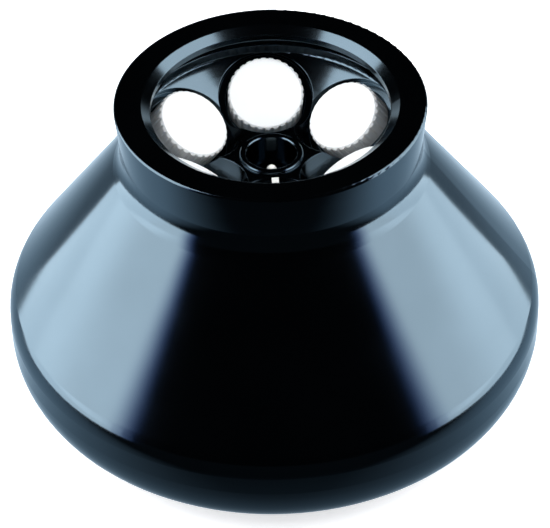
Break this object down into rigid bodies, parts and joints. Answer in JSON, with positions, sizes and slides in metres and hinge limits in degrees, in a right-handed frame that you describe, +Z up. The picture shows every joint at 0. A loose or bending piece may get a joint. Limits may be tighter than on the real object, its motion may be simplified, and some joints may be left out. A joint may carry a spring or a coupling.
{
  "type": "fixed angle rotor",
  "caption": "Open-topped black centrifuge rotor with tilted cavities holding capped sample tubes, locked to its spindle by a push button.",
  "frame": {"origin": "centre of the base plane, on the spin axis", "axes": "+Z up along the spin axis, front towards -Y"},
  "size_m": [0.244, 0.244, 0.151],
  "materials": {
    "black_anodised": "hard anodised black, satin gloss",
    "black_hub": "anodised black",
    "hub_metal": "turned stainless steel",
    "screw_steel": "plain stainless steel",
    "pawl_steel": "hardened and ground steel",
    "spring_wire": "drawn spring wire",
    "button_white": "moulded white acetal",
    "magnet_nickel": "nickel plate",
    "white_mark": "white enamel",
    "cap_white": "moulded white polypropylene",
    "tube_plastic": "clear moulded polypropylene copolymer",
    "liner_rubber": "silicone sheet"
  },
  "bodies": {
    "root": {"rotor_body": "black_anodised", "drive_hub": "hub_metal", "hub_screws": "screw_steel", "drive_pins": "screw_steel", "id_magnets": "magnet_nickel", "lock_housing": "black_hub", "spring_seat": "screw_steel", "spring_ring": "screw_steel", "button_spring": "spring_wire", "pawl_pins": "screw_steel", "index_mark": "white_mark", "tube_1": "tube_plastic", "tube_2": "tube_plastic", "tube_3": "tube_plastic", "tube_4": "tube_plastic", "tube_5": "tube_plastic", "tube_6": "tube_plastic"},
    "button": {"lock_button": "button_white", "pawl_spool": "screw_steel"},
    "pawl_1": {"lock_pawl_1": "pawl_steel"},
    "pawl_2": {"lock_pawl_2": "pawl_steel"},
    "pawl_3": {"lock_pawl_3": "pawl_steel"},
    "liner_1": {"cap_liner_1": "liner_rubber"},
    "liner_2": {"cap_liner_2": "liner_rubber"},
    "liner_3": {"cap_liner_3": "liner_rubber"},
    "liner_4": {"cap_liner_4": "liner_rubber"},
    "liner_5": {"cap_liner_5": "liner_rubber"},
    "liner_6": {"cap_liner_6": "liner_rubber"},
    "cap_1": {"cap_1": "cap_white"},
    "cap_2": {"cap_2": "cap_white"},
    "cap_3": {"cap_3": "cap_white"},
    "cap_4": {"cap_4": "cap_white"},
    "cap_5": {"cap_5": "cap_white"},
    "cap_6": {"cap_6": "cap_white"}
  },
  "joints": [
    {"name": "button_press", "type": "slide", "parent": "root", "child": "button", "axis": [0, 0, -1], "range_m": [0, 0.00297], "stiffness_N_per_m": 600, "springref_m": -0.003, "deforming": ["button_spring"]},
    {"name": "pawl_1_swing", "type": "hinge", "parent": "root", "child": "pawl_1", "pos_m": [0, 0.013, 0.071], "axis": [1, 0, 0], "range_deg": [0, 18]},
    {"name": "pawl_2_swing", "type": "hinge", "parent": "root", "child": "pawl_2", "pos_m": [-0.01126, -0.0065, 0.071], "axis": [-0.5, 0.866, 0], "range_deg": [0, 18]},
    {"name": "pawl_3_swing", "type": "hinge", "parent": "root", "child": "pawl_3", "pos_m": [0.01126, -0.0065, 0.071], "axis": [-0.5, -0.866, 0], "range_deg": [0, 18]},
    {"name": "cap_1_rise", "type": "slide", "parent": "root", "child": "liner_1", "axis": [-0.0293, 0.5584, 0.829], "range_m": [0, 0.005]},
    {"name": "cap_1_turn", "type": "hinge", "parent": "liner_1", "child": "cap_1", "pos_m": [0.00201, -0.03835, 0.1262], "axis": [-0.0293, 0.5584, 0.829], "range_deg": [0, 450]},
    {"name": "cap_2_rise", "type": "slide", "parent": "root", "child": "liner_2", "axis": [-0.4982, 0.2539, 0.829], "range_m": [0, 0.005]},
    {"name": "cap_2_turn", "type": "hinge", "parent": "liner_2", "child": "cap_2", "pos_m": [0.03421, -0.01743, 0.1262], "axis": [-0.4982, 0.2539, 0.829], "range_deg": [0, 450]},
    {"name": "cap_3_rise", "type": "slide", "parent": "root", "child": "liner_3", "axis": [-0.469, -0.3046, 0.829], "range_m": [0, 0.005]},
    {"name": "cap_3_turn", "type": "hinge", "parent": "liner_3", "child": "cap_3", "pos_m": [0.0322, 0.02091, 0.1262], "axis": [-0.469, -0.3046, 0.829], "range_deg": [0, 450]},
    {"name": "cap_4_rise", "type": "slide", "parent": "root", "child": "liner_4", "axis": [0.0293, -0.5584, 0.829], "range_m": [0, 0.005]},
    {"name": "cap_4_turn", "type": "hinge", "parent": "liner_4", "child": "cap_4", "pos_m": [-0.00201, 0.03835, 0.1262], "axis": [0.0293, -0.5584, 0.829], "range_deg": [0, 450]},
    {"name": "cap_5_rise", "type": "slide", "parent": "root", "child": "liner_5", "axis": [0.4982, -0.2539, 0.829], "range_m": [0, 0.005]},
    {"name": "cap_5_turn", "type": "hinge", "parent": "liner_5", "child": "cap_5", "pos_m": [-0.03421, 0.01743, 0.1262], "axis": [0.4982, -0.2539, 0.829], "range_deg": [0, 450]},
    {"name": "cap_6_rise", "type": "slide", "parent": "root", "child": "liner_6", "axis": [0.469, 0.3046, 0.829], "range_m": [0, 0.005]},
    {"name": "cap_6_turn", "type": "hinge", "parent": "liner_6", "child": "cap_6", "pos_m": [-0.0322, -0.02091, 0.1262], "axis": [0.469, 0.3046, 0.829], "range_deg": [0, 450]}
  ],
  "couplings": [
    {"joint": "pawl_1_swing", "follows": "button_press", "rad_per_m": 105.7},
    {"joint": "pawl_2_swing", "follows": "button_press", "rad_per_m": 105.7},
    {"joint": "pawl_3_swing", "follows": "button_press", "rad_per_m": 105.7},
    {"joint": "cap_1_turn", "follows": "cap_1_rise", "rad_per_m": 1570.8},
    {"joint": "cap_2_turn", "follows": "cap_2_rise", "rad_per_m": 1570.8},
    {"joint": "cap_3_turn", "follows": "cap_3_rise", "rad_per_m": 1570.8},
    {"joint": "cap_4_turn", "follows": "cap_4_rise", "rad_per_m": 1570.8},
    {"joint": "cap_5_turn", "follows": "cap_5_rise", "rad_per_m": 1570.8},
    {"joint": "cap_6_turn", "follows": "cap_6_rise", "rad_per_m": 1570.8}
  ]
}
